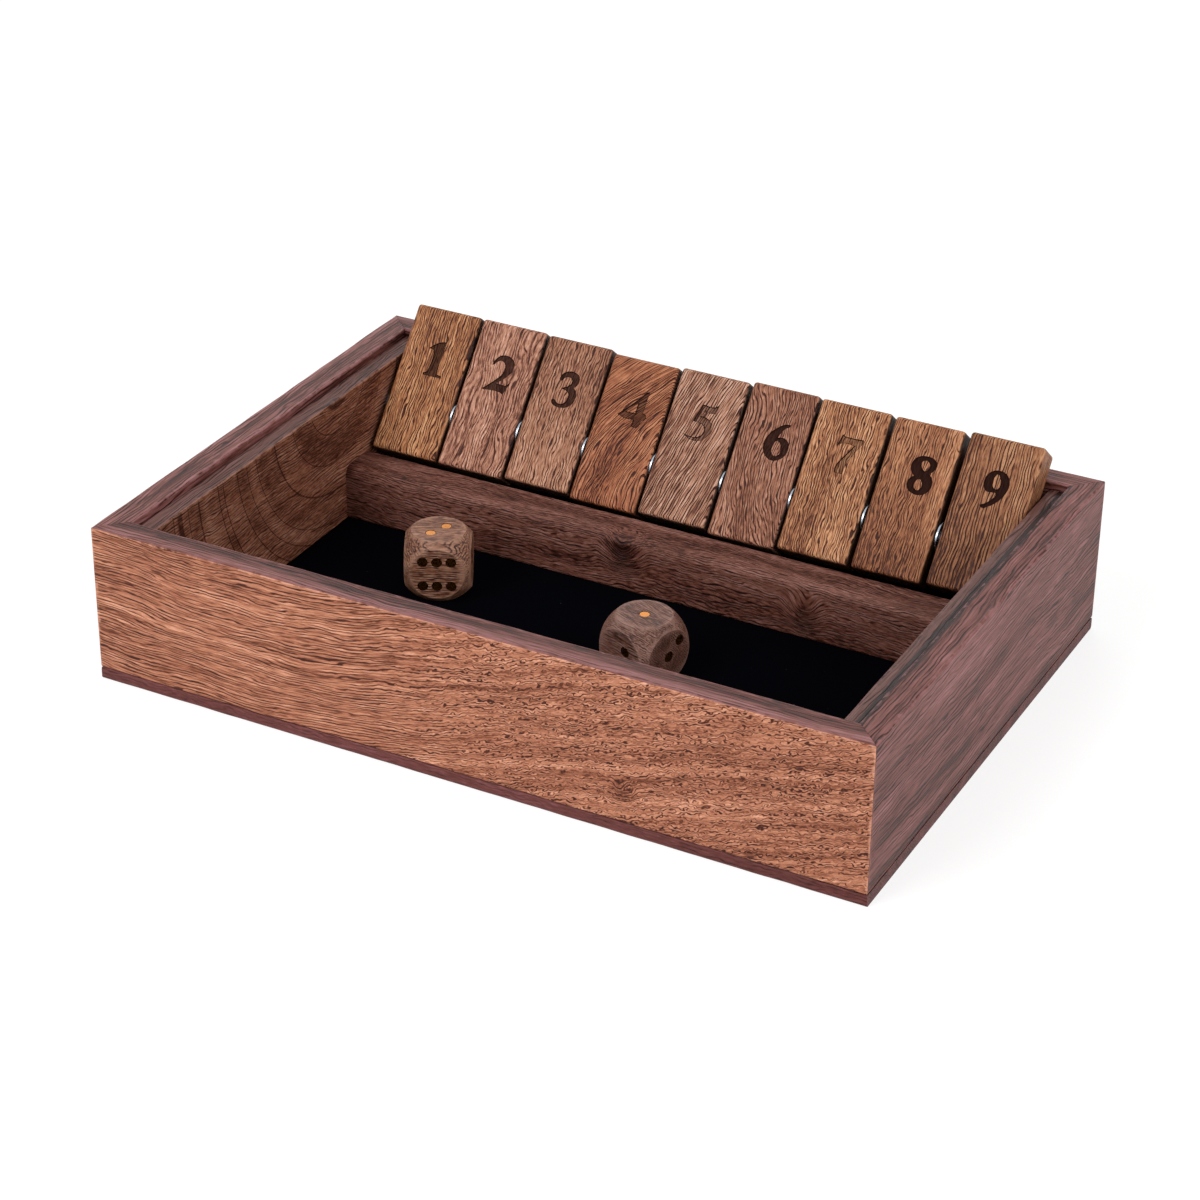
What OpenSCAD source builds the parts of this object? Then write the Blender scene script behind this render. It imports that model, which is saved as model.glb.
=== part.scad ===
// Shut the box game: a mitred wooden box with nine numbered tiles that turn on one steel rod,
// a divider rail that catches each tile when it is flipped, and two sphere-cut dice with pinned pips.
// Millimetres. X runs along the box, Y to its back and Z up. The origin is under the middle of the base.

/* [Box] */
// Length of the box, outside
box_l = 290; // [276:1:320]
// Depth of the box from front to back, outside
box_w = 200; // [190:1:230]
// Height of the rim above the table
box_h = 59.5; // [58:0.5:62]
// Thickness of the four mitred walls
wall_t = 10; // [8:0.5:12]
// Rounding of the rim's edges
rim_r = 0.8; // [0.4:0.1:2]
// Thickness of the base board under the walls
base_t = 4.5; // [3:0.5:6]
// Rounding of the base board's lower edge
base_r = 1; // [0.4:0.1:2]

/* [Liners and felt] */
// Thickness of the two end liners, which carry the rod
liner_t = 7; // [5:0.5:8]
// How far the liners stop below the rim
liner_drop = 3; // [1:0.5:6]
// Rounding of the liners' top inner edge
liner_r = 0.6; // [0.3:0.1:1.5]
// Thickness of the felt on the base board
felt_t = 1; // [0.5:0.1:2]

/* [Divider rail] */
// Depth of the rail from front to back
rail_d = 16; // [12:0.5:18]
// Height of the rail's top above the table
rail_top = 27; // [24:0.5:28]
// Gap from the rail's back face to the back wall
rail_gap = 40; // [38:0.5:42]
// Rounding of the rail's top front edge, where flipped tiles land
rail_r = 3; // [1:0.5:4]
// Rounding of the rail's top back edge
rail_back_r = 0.8; // [0.4:0.1:1.5]

/* [Tiles] */
// Number of tiles
tile_count = 9; // [7:1:9]
// Length of a tile
tile_l = 57; // [50:0.5:58]
// Thickness of a tile
tile_t = 12; // [10:0.5:12]
// Chamfer along every edge of a tile
tile_c = 0.7; // [0.3:0.1:1.2]
// Length of the tile below the rod
tile_tail = 18.8; // [15:0.1:19]
// How much the tiles differ from each other, as sawn by hand (0 makes them alike)
hand_sawn = 1; // [0:0.1:1]
// Side play between the end tiles and the liners
end_play = 0.7; // [0.4:0.1:1]
// Gap that a tile keeps from whatever it leans on
lean_gap = 0.25; // [0.1:0.05:0.3]

/* [Rod and washers] */
// Diameter of the steel rod
rod_d = 6; // [4:0.5:7]
// Radial play of a tile on the rod
rod_play = 0.08; // [0.05:0.01:0.1]
// Distance from the rod to the back wall
rod_back = 23.5; // [22:0.5:24]
// Height of the rod above the table
rod_z = 40.3; // [39:0.1:42]
// Chamfer on the rod's ends
rod_c = 0.5; // [0.2:0.1:1]
// Outside diameter of a spacer washer
washer_d = 12; // [9:0.5:12]
// Thickness of a spacer washer
washer_t = 0.7; // [0.5:0.1:1]
// Play on each side of a washer
washer_play = 0.2; // [0.15:0.05:0.3]

/* [Dice] */
// Size of a die between opposite flats
die_s = 24; // [20:0.5:25]
// Diameter of the round flat on each face
die_flat = 19.8; // [15:0.1:20.4]
// Diameter of a pip's pin
pip_d = 3.5; // [2.5:0.1:4]
// Length of a pip's pin
pip_l = 2; // [1:0.1:2.5]
// Sideways distance from the middle of a face to its outer pips, on three and more
pip_x = 5.1; // [4:0.1:5.2]
// Upright distance from the middle of a face to its outer pips, on three and more
pip_y = 4.8; // [4:0.1:5]
// Sideways and upright distance from the middle of a face to the pips of the two
pip_two = 2.65; // [2.2:0.05:4]
// Face that the left die shows on top
left_up = 2; // [1:1:6]
// Turn of the left die on the felt
left_turn = 26.5; // [-45:0.5:45]
// Face that the right die shows on top
right_up = 1; // [1:1:6]
// Turn of the right die on the felt
right_turn = -18; // [-45:0.5:45]

/* [Hidden] */
$fn = 48;
in_l = box_l - 2 * (wall_t + liner_t);
in_w = box_w - 2 * wall_t;
in_back = box_w / 2 - wall_t;
floor_z = base_t + felt_t;
rail_back = in_back - rail_gap;
rail_front = rail_back - rail_d;
rod_y = in_back - rod_back;
rod_l = box_l - 2 * wall_t;
tile_gap = washer_t + 2 * washer_play;
tile_pitch = (in_l - 2 * end_play + tile_gap) / tile_count;
tile_w = tile_pitch - tile_gap;
tile_from = -in_l / 2 + end_play + tile_w / 2;
bore_r = rod_d / 2 + rod_play;
die_r = norm([die_s / 2, die_flat / 2]);
left_at = [-70, 4];
right_at = [23, -15];

// Lean of a resting tile from upright: its back stays lean_gap off the rounded inner edge of the rim.
rest_edge = [in_back + rim_r - rod_y, box_h - rim_r - rod_z];
lean = atan2(rest_edge[0], rest_edge[1]) - asin((tile_t / 2 + lean_gap + rim_r) / norm(rest_edge));
// Lean of a flipped tile: its face stays lean_gap off the rounded front edge of the rail.
flip_edge = [rail_front + rail_r - rod_y, rail_top - rail_r - rod_z];
flip = atan2(flip_edge[0], flip_edge[1]) + asin((tile_t / 2 + lean_gap + rail_r) / norm(flip_edge));
echo(rest_lean = lean, flip_range = lean - flip);

// Woods of the tiles, from the first to the last
tile_woods = [
    "#b5814c", "#a97a5d", "#a67a5f", "#ad6f45", "#a58061", "#8f5b45", "#b07d4f", "#99714f", "#bf965c"
];
// How each tile differs from an even one: its shift along the rod, then its extra width,
// its extra length above the rod and its extra length below it.
tile_odds = [
    [1.2, 0.2, 0.2, 0.4], [1.1, -0.3, 0.2, 0.6], [0.7, -0.7, -0.2, -0.1],
    [0.2, -0.3, -1.4, 1], [-0.2, -0.1, -0.7, 0], [-0.6, -1.1, 0.2, 1.1],
    [-1.3, -0.1, -0.1, 0], [-1.3, -0.9, -0.3, 0], [-0.6, 0.5, 0.4, -0.8]
];

tile_names = [for (k = [1:tile_count]) str("tile_", k)];

// A rectangle from [0, 0] to size. radii round its corners: low left, low right, top right, top left.
module rounded_rect(size, radii) {
    corners = [[0, 0], [size[0], 0], size, [0, size[1]]];
    inward = [[1, 1], [-1, 1], [-1, -1], [1, -1]];
    difference() {
        square(size);
        for (i = [0:3])
            if (radii[i] > 0)
                translate(corners[i])
                    corner_waste(inward[i] * radii[i], radii[i]);
    }
}

// What rounding takes away from a corner at the origin, with the arc's centre at mid.
module corner_waste(mid, r) {
    difference() {
        square(2 * r, center = true);
        translate(mid) circle(r);
    }
}

// A rectangle centred on the origin, with its four corners cut off at 45 degrees.
module chamfered_rect(size, c) {
    x = size[0] / 2;
    y = size[1] / 2;
    polygon([
        [-x + c, -y], [x - c, -y], [x, -y + c], [x, y - c],
        [x - c, y], [-x + c, y], [-x, y - c], [-x, -y + c]
    ]);
}

// A bar of a section drawn in depth and height, run along X and centred on it.
module bar_along_x(length) {
    rotate([90, 0, 90])
        linear_extrude(length, center = true)
            children();
}

// A wall along X with its outer face at Y = 0 and its ends mitred at 45 degrees.
module mitred_wall(length) {
    intersection() {
        bar_along_x(length)
            translate([0, base_t])
                rounded_rect([wall_t, box_h - base_t], [0, 0, rim_r, rim_r]);
        linear_extrude(box_h)
            polygon([
                [-length / 2, 0], [length / 2, 0],
                [length / 2 - wall_t, wall_t], [-length / 2 + wall_t, wall_t]
            ]);
    }
}

module base_board() {
    color("#4a2326")
        intersection() {
            bar_along_x(box_l)
                translate([-box_w / 2, 0])
                    rounded_rect([box_w, base_t], [base_r, base_r, 0, 0]);
            rotate([0, 0, 90])
                bar_along_x(box_w)
                    translate([-box_l / 2, 0])
                        rounded_rect([box_l, base_t], [base_r, base_r, 0, 0]);
        }
}

module felt() {
    color("#141414")
        translate([-in_l / 2, -in_w / 2, base_t])
            cube([in_l, in_w, felt_t]);
}

module front_wall() {
    color("#a5643c")
        translate([0, -box_w / 2, 0])
            mitred_wall(box_l);
}

module back_wall() {
    color("#8a5540")
        rotate([0, 0, 180])
            translate([0, -box_w / 2, 0])
                mitred_wall(box_l);
}

module left_wall() {
    color("#84523f")
        rotate([0, 0, -90])
            translate([0, -box_l / 2, 0])
                mitred_wall(box_w);
}

module right_wall() {
    color("#6b4038")
        rotate([0, 0, 90])
            translate([0, -box_l / 2, 0])
                mitred_wall(box_w);
}

// A liner on the left end wall: its top inner edge is rounded, and the rod's end sits in its hole.
module end_liner() {
    difference() {
        translate([-in_l / 2 - liner_t, 0, 0])
            rotate([90, 0, 0])
                linear_extrude(in_w, center = true)
                    translate([0, base_t])
                        rounded_rect([liner_t, box_h - liner_drop - base_t], [0, 0, liner_r, 0]);
        translate([-in_l / 2 - liner_t / 2, rod_y, rod_z])
            rotate([0, 90, 0])
                cylinder(h = liner_t + 2, d = rod_d, center = true);
    }
}

module left_liner() {
    color("#8e5a42")
        end_liner();
}

module right_liner() {
    color("#8e5a42")
        mirror([1, 0, 0])
            end_liner();
}

module divider_rail() {
    color("#5f3a30")
        bar_along_x(in_l)
            translate([rail_front, floor_z])
                rounded_rect([rail_d, rail_top - floor_z], [0, 0, rail_back_r, rail_r]);
}

module pivot_rod() {
    color("#b9bcc0")
        translate([0, rod_y, rod_z])
            rotate([0, 90, 0])
                rotate_extrude()
                    intersection() {
                        chamfered_rect([rod_d, rod_l], rod_c);
                        translate([0, -rod_l / 2]) square([rod_d, rod_l]);
                    }
}

function odds(k) = hand_sawn * tile_odds[k - 1];
function width_of(k) = tile_w + odds(k)[1];
function middle_of(k) = tile_from + (k - 1) * tile_pitch + odds(k)[0];
function gap_after(k) = (middle_of(k) + width_of(k) / 2 + middle_of(k + 1) - width_of(k + 1) / 2) / 2;

// One washer sits on the rod in the middle of each gap between two tiles.
module spacer_washers() {
    color("#d3d6da")
        for (k = [1:tile_count - 1])
            translate([gap_after(k), rod_y, rod_z])
                rotate([0, 90, 0])
                    difference() {
                        cylinder(h = washer_t, d = washer_d, center = true);
                        cylinder(h = washer_t + 1, r = rod_d / 2 + rod_play / 2, center = true);
                    }
}

// A tile standing upright with its bore on the X axis: chamfered in face, edge and end view.
// head and tail are its lengths above and below the bore.
module tile_blank(width, head, tail) {
    length = head + tail;
    difference() {
        translate([0, 0, (head - tail) / 2])
            intersection() {
                rotate([90, 0, 0])
                    linear_extrude(tile_t, center = true)
                        chamfered_rect([width, length], tile_c);
                bar_along_x(width)
                    chamfered_rect([tile_t, length], tile_c);
                linear_extrude(length, center = true)
                    chamfered_rect([width, tile_t], tile_c);
            }
        rotate([0, 90, 0])
            cylinder(h = width + 2, r = bore_r, center = true);
    }
}

module tile(k) {
    color(tile_woods[k - 1])
        translate([middle_of(k), rod_y, rod_z])
            rotate([-lean, 0, 0])
                tile_blank(width_of(k), tile_l - tile_tail + odds(k)[2], tile_tail + odds(k)[3]);
}

// Pip places on a face, sideways and up, by the face's number.
function pips(n) =
    n == 2 ? [[-pip_two, -pip_two], [pip_two, pip_two]]
    : concat(
        n % 2 == 1 ? [[0, 0]] : [],
        n >= 3 ? [[-pip_x, -pip_y], [pip_x, pip_y]] : [],
        n >= 4 ? [[-pip_x, pip_y], [pip_x, -pip_y]] : [],
        n == 6 ? [[0, -pip_y], [0, pip_y]] : []
    );

// Turns a child that faces +Z to the face with this number. Opposite faces add up to seven.
module on_face(n) {
    turns = [[0, 0, 0], [90, 0, 0], [90, 0, 90], [90, 0, -90], [90, 0, 180], [180, 0, 0]];
    rotate(turns[n - 1])
        translate([0, 0, die_s / 2])
            children();
}

// The pins of all six faces, each drawn from its face inwards.
module pip_pins() {
    for (n = [1:6])
        on_face(n)
            for (at = pips(n))
                translate([at[0], at[1], -pip_l])
                    cylinder(h = pip_l, d = pip_d, $fn = 32);
}

// The overlap of a cube and a sphere: six round flats with a curved band between them.
module die_blank() {
    difference() {
        intersection() {
            cube(die_s, center = true);
            sphere(die_r, $fn = 96);
        }
        pip_pins();
    }
}

// Sets a die on the felt at a place and a turn, with this face up.
module place_die(at, turn, up) {
    tips = [[0, 0, 0], [-90, 0, 0], [0, -90, 0], [0, 90, 0], [90, 0, 0], [180, 0, 0]];
    translate([at[0], at[1], floor_z + die_s / 2])
        rotate([0, 0, turn])
            rotate(tips[up - 1])
                children();
}

module left_die() {
    color("#5b4235")
        place_die(left_at, left_turn, left_up)
            die_blank();
}

module left_die_pips() {
    color("#d79a45")
        place_die(left_at, left_turn, left_up)
            pip_pins();
}

module right_die() {
    color("#5b4235")
        place_die(right_at, right_turn, right_up)
            die_blank();
}

module right_die_pips() {
    color("#d79a45")
        place_die(right_at, right_turn, right_up)
            pip_pins();
}

base_board();
felt();
front_wall();
back_wall();
left_wall();
right_wall();
left_liner();
right_liner();
divider_rail();
pivot_rod();
spacer_washers();
for (k = [1:tile_count]) tile(k);
left_die();
left_die_pips();
right_die();
right_die_pips();
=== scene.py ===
# Shut the box game in dark-stained hardwood, put together in the order a joiner would build it.
# Metres. X runs along the box, Y to its back and Z up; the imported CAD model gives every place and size.
import math

import bmesh
import bpy
from mathutils import Matrix, Vector, noise


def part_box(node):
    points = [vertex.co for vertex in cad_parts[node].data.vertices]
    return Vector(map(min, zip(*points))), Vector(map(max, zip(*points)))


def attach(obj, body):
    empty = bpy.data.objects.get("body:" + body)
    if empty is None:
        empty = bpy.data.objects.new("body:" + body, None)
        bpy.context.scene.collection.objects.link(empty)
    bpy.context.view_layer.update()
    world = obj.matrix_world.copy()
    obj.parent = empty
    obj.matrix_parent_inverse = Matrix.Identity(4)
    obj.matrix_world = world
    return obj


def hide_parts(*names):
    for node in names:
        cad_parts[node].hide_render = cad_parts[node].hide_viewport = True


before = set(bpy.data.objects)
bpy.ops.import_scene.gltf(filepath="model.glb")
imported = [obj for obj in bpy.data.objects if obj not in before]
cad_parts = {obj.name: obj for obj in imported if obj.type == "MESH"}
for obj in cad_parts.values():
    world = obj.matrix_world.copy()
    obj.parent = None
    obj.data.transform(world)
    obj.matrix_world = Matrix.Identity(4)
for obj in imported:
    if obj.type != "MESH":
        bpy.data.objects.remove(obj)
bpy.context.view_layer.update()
scene = bpy.context.scene
scene.view_settings.view_transform = "Standard"
MM = 0.001

# View: a long lens looks down into the box past its front right corner, as in a catalogue picture.
# The camera stands about 1.1 m away, 29 degrees above the table.
eye = Vector((0.4509, -0.8674, 0.5717))
azimuth = math.radians(27.58)
elevation = math.radians(29.38)
roll = math.radians(0.656)
view = bpy.data.objects.new("view", bpy.data.cameras.new("view"))
view.data.lens = 95.99
view.data.clip_start = 0.05
aim = Matrix.Rotation(azimuth, 4, "Z") @ Matrix.Rotation(math.pi / 2 - elevation, 4, "X")
view.matrix_world = Matrix.Translation(eye) @ aim @ Matrix.Rotation(roll, 4, "Z")
scene.collection.objects.link(view)
scene.camera = view


# Studio: a white sweep under even skylight, with large softboxes at the front, at the right and behind.
# The sweep is matt and white to the lens, and it keeps the soft shadow under the box.
def add(tree, kind, plugs=None, **settings):
    """Adds a shader node with these settings, and plugs values or other nodes' sockets into it."""
    made = tree.nodes.new("ShaderNode" + kind)
    for setting, value in settings.items():
        setattr(made, setting, value)
    for socket, value in (plugs or {}).items():
        if isinstance(value, bpy.types.NodeSocket):
            tree.links.new(value, made.inputs[socket])
        else:
            made.inputs[socket].default_value = value
    return made


def calculate(tree, operation, first, second=0.0, third=0.0):
    """The outcome of one Math node."""
    return add(tree, "Math", {0: first, 1: second, 2: third}, operation=operation).outputs[0]


def seen_directly(tree):
    """1 for what the lens, a reflection or a see-through look meets, and 0 for what lights other things."""
    rays = add(tree, "LightPath")
    mirrored = calculate(tree, "MAXIMUM", rays.outputs["Is Camera Ray"], rays.outputs["Is Glossy Ray"])
    return calculate(tree, "MAXIMUM", mirrored, rays.outputs["Is Transmission Ray"])


def blank_material(name):
    """A material without shader nodes, and its node tree."""
    material = bpy.data.materials.new(name)
    material.use_nodes = True
    material.node_tree.nodes.clear()
    return material, material.node_tree


sky_strength = 0.5
scene.world = bpy.data.worlds.new("skylight")
scene.world.use_nodes = True
sky = scene.world.node_tree
sky.nodes.clear()
sky_light = add(sky, "Background", {"Color": (1, 0.99, 0.975, 1), "Strength": sky_strength})
sky_white = add(sky, "Background", {"Color": (1, 1, 1, 1), "Strength": 1.0})
sky_mix = add(sky, "MixShader", {0: seen_directly(sky), 1: sky_light.outputs[0], 2: sky_white.outputs[0]})
add(sky, "OutputWorld", {"Surface": sky_mix.outputs[0]})


box_middle = Vector((0, 0, 0.03))


def softbox(name, at, size, power):
    """A square soft lamp that faces the box."""
    lamp = bpy.data.objects.new(name, bpy.data.lights.new(name, "AREA"))
    lamp.data.size = size
    lamp.data.energy = power
    toward = box_middle - Vector(at)
    lamp.matrix_world = Matrix.Translation(at) @ toward.to_track_quat("-Z", "Y").to_matrix().to_4x4()
    scene.collection.objects.link(lamp)


softbox("front_softbox", (-0.6, -1.4, 1.4), 0.9, 19)
softbox("right_softbox", (1.6, -0.5, 0.95), 0.9, 13)
softbox("back_softbox", (-0.7, 1.5, 1.25), 1.0, 7)

sweep_size = 8.0
sweep_shape = bmesh.new()
bmesh.ops.create_grid(sweep_shape, x_segments=1, y_segments=1, size=sweep_size / 2)
sweep_mesh = bpy.data.meshes.new("sweep")
sweep_shape.to_mesh(sweep_mesh)
sweep_shape.free()
sweep = bpy.data.objects.new("sweep", sweep_mesh)
scene.collection.objects.link(sweep)
sweep_paper, paper = blank_material("sweep_paper")
paper_lit = add(paper, "BsdfDiffuse", {"Color": (0.8, 0.8, 0.8, 1)})
paper_shaded = add(paper, "BsdfDiffuse", {"Color": (0.35, 0.35, 0.35, 1)})
paper_white = add(paper, "Emission", {"Color": (1, 1, 1, 1), "Strength": 0.74})
paper_seen = add(paper, "AddShader", {0: paper_shaded.outputs[0], 1: paper_white.outputs[0]})
paper_plugs = {0: seen_directly(paper), 1: paper_lit.outputs[0], 2: paper_seen.outputs[0]}
paper_mix = add(paper, "MixShader", paper_plugs)
add(paper, "OutputMaterial", {"Surface": paper_mix.outputs[0]})
sweep_mesh.materials.append(sweep_paper)


# Base board: a thin dark-stained panel under the walls, flush with them all round.
# It is glued to their lower edges, and its own lower edge is sanded round.
def shade(red, green, blue):
    """A colour as a screen shows it, each part from 0 to 255, for a shader."""
    parts = [part / 255 for part in (red, green, blue)]
    return (*[part / 12.92 if part < 0.04 else ((part + 0.055) / 1.055) ** 2.4 for part in parts], 1.0)


def mix_colours(tree, factor, first, second, how="MIX"):
    """The outcome of one colour mix."""
    made = add(tree, "Mix", {0: factor, 6: first, 7: second}, data_type="RGBA", blend_type=how)
    return made.outputs[2]


def rise(tree, value, start, end, low=0.0, high=1.0):
    """Goes smoothly from low to high while value goes from start to end."""
    plugs = {"Value": value, "From Min": start, "From Max": end, "To Min": low, "To Max": high}
    return add(tree, "MapRange", plugs, interpolation_type="SMOOTHSTEP").outputs[0]


def box_edges(low, high):
    """Measures how far a point on a box's face lies from the box's nearest edge."""
    def measure(tree, spot):
        offset = add(tree, "VectorMath", {0: spot, 1: (low + high) / 2}, operation="SUBTRACT").outputs[0]
        outward = add(tree, "VectorMath", {0: offset}, operation="ABSOLUTE").outputs[0]
        plugs = {0: (high - low) / 2, 1: outward}
        inset = add(tree, "SeparateXYZ", {0: add(tree, "VectorMath", plugs, operation="SUBTRACT").outputs[0]})
        smaller = calculate(tree, "MINIMUM", inset.outputs[0], inset.outputs[1])
        larger = calculate(tree, "MAXIMUM", inset.outputs[0], inset.outputs[1])
        return calculate(tree, "MAXIMUM", smaller, calculate(tree, "MINIMUM", larger, inset.outputs[2]))
    return measure


def rim_edges(low, high, past=(0, 0)):
    """Measures the distance to a board's upper edges, taking the board to be longer by past at each end."""
    far_below = -0.1
    return box_edges(Vector((low.x - past[0], low.y - past[1], far_below)), high + Vector((*past, 0)))


def shades_of(red, green, blue):
    """The pore, dark, middle, pale and palest shades of a wood whose middle shade this is."""
    middle = shade(red, green, blue)
    shares = [(0.12, 0.06, 0.05), (0.42, 0.32, 0.27), (1, 1, 1), (1.45, 1.7, 1.85), (1.9, 2.5, 3.0)]
    return [(*[part * portion for part, portion in zip(middle, share)], 1.0) for share in shares]


# Painted shade in joints and gaps between parts: how far its ragged edge reaches, where it is full, where it
# ends and how dark it gets.
shade_chips = 0.8 * MM
shade_full = 0.4 * MM
shade_end = 1.0 * MM
shade_depth = 0.85
# Pale edges, partly wear and on the dice partly a painted highlight of the rims: their ragged reach, where
# they are full and where they end.
pale_edge_chips = 5.0 * MM
pale_edge_full = 2.4 * MM
pale_edge_end = 3.6 * MM
relief = 0.3 * MM


def wood(name, centre, grain, middle, seed, figure=None, bend=(0.05, 0.0012), curl=(0.006, 0.0003),
         curl_span=None, rings=(0.006, 0.4, 0.1), heart=(0.0, -0.04, 0.02), taper=0.05, streaks=1.0,
         creases=(0.009, 0.0011, 0.8, 2.5), fibres=(0.003, 0.0006, 1.6), fade=0.0, knots=(),
         edges=None, wear_and_highlight=0.6, painted_shade=None, gloss=0.5, shine=0.2, char=0.0):
    """An oiled wood of this middle shade. Its grain runs along X after it is centred and turned by grain.
    figure leads the grain along a curve. bend and curl are the size and reach of slow and quick waves in it,
    and curl_span is the stretch over which the quick ones set in. rings are the width of the growth rings and
    how much they vary and darken; they run round the tree's heart and taper narrows them along the grain.
    streaks is how much the tone drifts. creases are the length, spacing, strength and sway of the open pores,
    and fibres are the first three for the texture between them. fade makes the tone paler towards one end.
    knots are places with reach and lift. edges measures the distance to an edge, and wear_and_highlight is
    how pale
    the edge is painted: wear, and on the dice partly a painted highlight. painted_shade measures the distance
    to a joint or gap, where shade is painted dark. char is how far the surface is burnt."""
    material, tree = blank_material(name)
    spot = add(tree, "TexCoord").outputs["Object"]
    plugs = {"Vector": spot, "Location": centre, "Rotation": grain}
    inside = add(tree, "Mapping", plugs, vector_type="TEXTURE").outputs[0]

    def move(first, second, operation="ADD"):
        """The outcome of one Vector Math node."""
        return add(tree, "VectorMath", {0: first, 1: second}, operation=operation)

    def cloud(source, scale, detail, shift):
        """Noise with blobs of 1 / scale along each axis."""
        plugs = {"Vector": source, "Scale": scale, "Location": (seed + shift, seed * 1.7, shift - seed)}
        placed = add(tree, "Mapping", plugs).outputs[0]
        plugs = {"Vector": placed, "Scale": 1.0, "Detail": detail, "Roughness": 0.6}
        return add(tree, "TexNoise", plugs).outputs

    def wander(source, size, reach, share=1.0):
        """Pushes the grain sideways in waves of this size."""
        waves = cloud(source, (0.6 / size, 1 / size, 1 / size), 1.0, size * 100)["Color"]
        centred = move(waves, (0.5, 0.5, 0.5), "SUBTRACT").outputs[0]
        sideways = move(centred, (0.0, reach * 4, reach * 4), "MULTIPLY").outputs[0]
        plugs = {0: sideways, "Scale": share}
        return move(source, add(tree, "VectorMath", plugs, operation="SCALE").outputs[0]).outputs[0]

    def weigh(value, weight, total):
        """Adds a value to the total, from -weight / 2 to weight / 2."""
        return calculate(tree, "ADD", calculate(tree, "MULTIPLY_ADD", value, weight, -weight / 2), total)

    led = figure(tree, inside) if figure else inside
    along = add(tree, "SeparateXYZ", {0: inside}).outputs[0]
    tone = calculate(tree, "MULTIPLY_ADD", along, fade, 0.55)
    for place, reach, lift in knots:
        away = move(inside, place, "DISTANCE").outputs["Value"]
        plugs = {0: (0.0, 0.0, 1.0), "Scale": rise(tree, away, reach, 0.0, 0.0, lift)}
        led = move(led, add(tree, "VectorMath", plugs, operation="SCALE").outputs[0]).outputs[0]
        tone = calculate(tree, "SUBTRACT", tone, rise(tree, away, reach * 0.8, 0.0, 0.0, lift * 90))
    bent = wander(led, *bend)
    curled = wander(bent, *curl, rise(tree, along, *curl_span, 0.1) if curl_span else 1.0)

    tapered = move(bent, (taper, 1.0, 1.0), "MULTIPLY").outputs[0]
    radius = move(tapered, (heart[0] * taper, heart[1], heart[2]), "DISTANCE").outputs["Value"]
    plugs = {"W": calculate(tree, "MULTIPLY_ADD", radius, 1 / rings[0], seed), "Scale": 1.0, "Detail": 1.0}
    growth = add(tree, "TexNoise", plugs, noise_dimensions="1D").outputs["Fac"]
    tone = weigh(growth, rings[1], tone)
    from_arc = calculate(tree, "ABSOLUTE", calculate(tree, "SUBTRACT", growth, 0.5))
    tone = calculate(tree, "SUBTRACT", tone, rise(tree, from_arc, 0.03, 0.0, 0.0, rings[2]))
    tone = weigh(cloud(bent, (14, 130, 130), 3.0, 1.0)["Fac"], streaks, tone)
    threads = cloud(curled, (1 / fibres[0], 1 / fibres[1], 1 / fibres[1]), 2.0, 2.0)["Fac"]
    tone = weigh(threads, fibres[2], tone)
    sway = cloud(curled, (1 / creases[0], 0.4 / creases[1], 0.4 / creases[1]), 1.0, 3.0)["Fac"]
    across = move(curled, (0.0, 1 / creases[1], 0.9 / creases[1]), "DOT_PRODUCT").outputs["Value"]
    turns = calculate(tree, "MULTIPLY_ADD", sway, creases[3], across)
    from_fold = calculate(tree, "PINGPONG", turns, 0.5)
    deep = cloud(curled, (0.7 / creases[0], 0.7 / creases[1], 0.7 / creases[1]), 1.0, 5.0)["Fac"]
    depth = rise(tree, deep, 0.35, 0.65, 0.15, 1.0)
    fold = rise(tree, from_fold, 0.03, 0.26, -creases[2] * 0.8, creases[2] * 0.2)
    tone = calculate(tree, "MULTIPLY_ADD", fold, depth, tone)
    ramp = add(tree, "ValToRGB", {"Fac": tone})
    stops = ramp.color_ramp.elements
    shades = shades_of(*middle)
    for position in (0.3, 0.55, 0.85):
        stops.new(position)
    for stop, tint in zip(stops, shades):
        stop.color = tint
    tinted = ramp.outputs["Color"]
    rough = calculate(tree, "MULTIPLY_ADD", threads, 0.2, gloss - 0.1)

    chips = cloud(spot, (260, 260, 260), 3.0, 4.0)["Fac"] if edges or painted_shade else 0.5
    # Painted shade: darkens the colour near joints and gaps between parts, where shade falls.
    if painted_shade:
        ragged = calculate(tree, "MULTIPLY_ADD", chips, shade_chips, painted_shade(tree, spot))
        shade_amount = rise(tree, ragged, shade_end, shade_full, 0.0, shade_depth)
        tinted = mix_colours(tree, shade_amount, tinted, shade(16, 9, 9))
    # Pale edges: wear, and on the dice also a painted highlight along the rims of the flats.
    if edges:
        ragged = calculate(tree, "MULTIPLY_ADD", chips, pale_edge_chips, edges(tree, spot))
        rubbed_and_highlit = rise(tree, ragged, pale_edge_end, pale_edge_full, 0.0, wear_and_highlight)
        tinted = mix_colours(tree, rubbed_and_highlit, tinted, shades[4])
    if char:
        burnt = mix_colours(tree, threads, shade(22, 12, 11), shade(64, 40, 34))
        tinted = mix_colours(tree, char, tinted, burnt)

    plugs = {"Strength": 0.7, "Distance": relief, "Height": tone}
    bump = add(tree, "Bump", plugs).outputs[0]
    plugs = {"Base Color": tinted, "Roughness": rough, "Normal": bump}
    plugs["Specular IOR Level"] = shine * (1 - char)
    surface = add(tree, "BsdfPrincipled", plugs)
    add(tree, "OutputMaterial", {"Surface": surface.outputs[0]})
    return material


def finish_piece(name, shape, materials, node, body="box"):
    """Turns a bmesh into a piece that stands for a CAD node and moves with its body."""
    mesh = bpy.data.meshes.new(name)
    shape.to_mesh(mesh)
    shape.free()
    for material in materials:
        mesh.materials.append(material)
    piece = bpy.data.objects.new(name, mesh)
    scene.collection.objects.link(piece)
    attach(piece, body)
    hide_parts(node)
    return piece


def edges_along(shape, axis, length):
    """The edges that run the whole length of a block along an axis."""
    return [edge for edge in shape.edges
            if abs(edge.verts[0].co[axis] - edge.verts[1].co[axis]) > length * 0.99]


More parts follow.
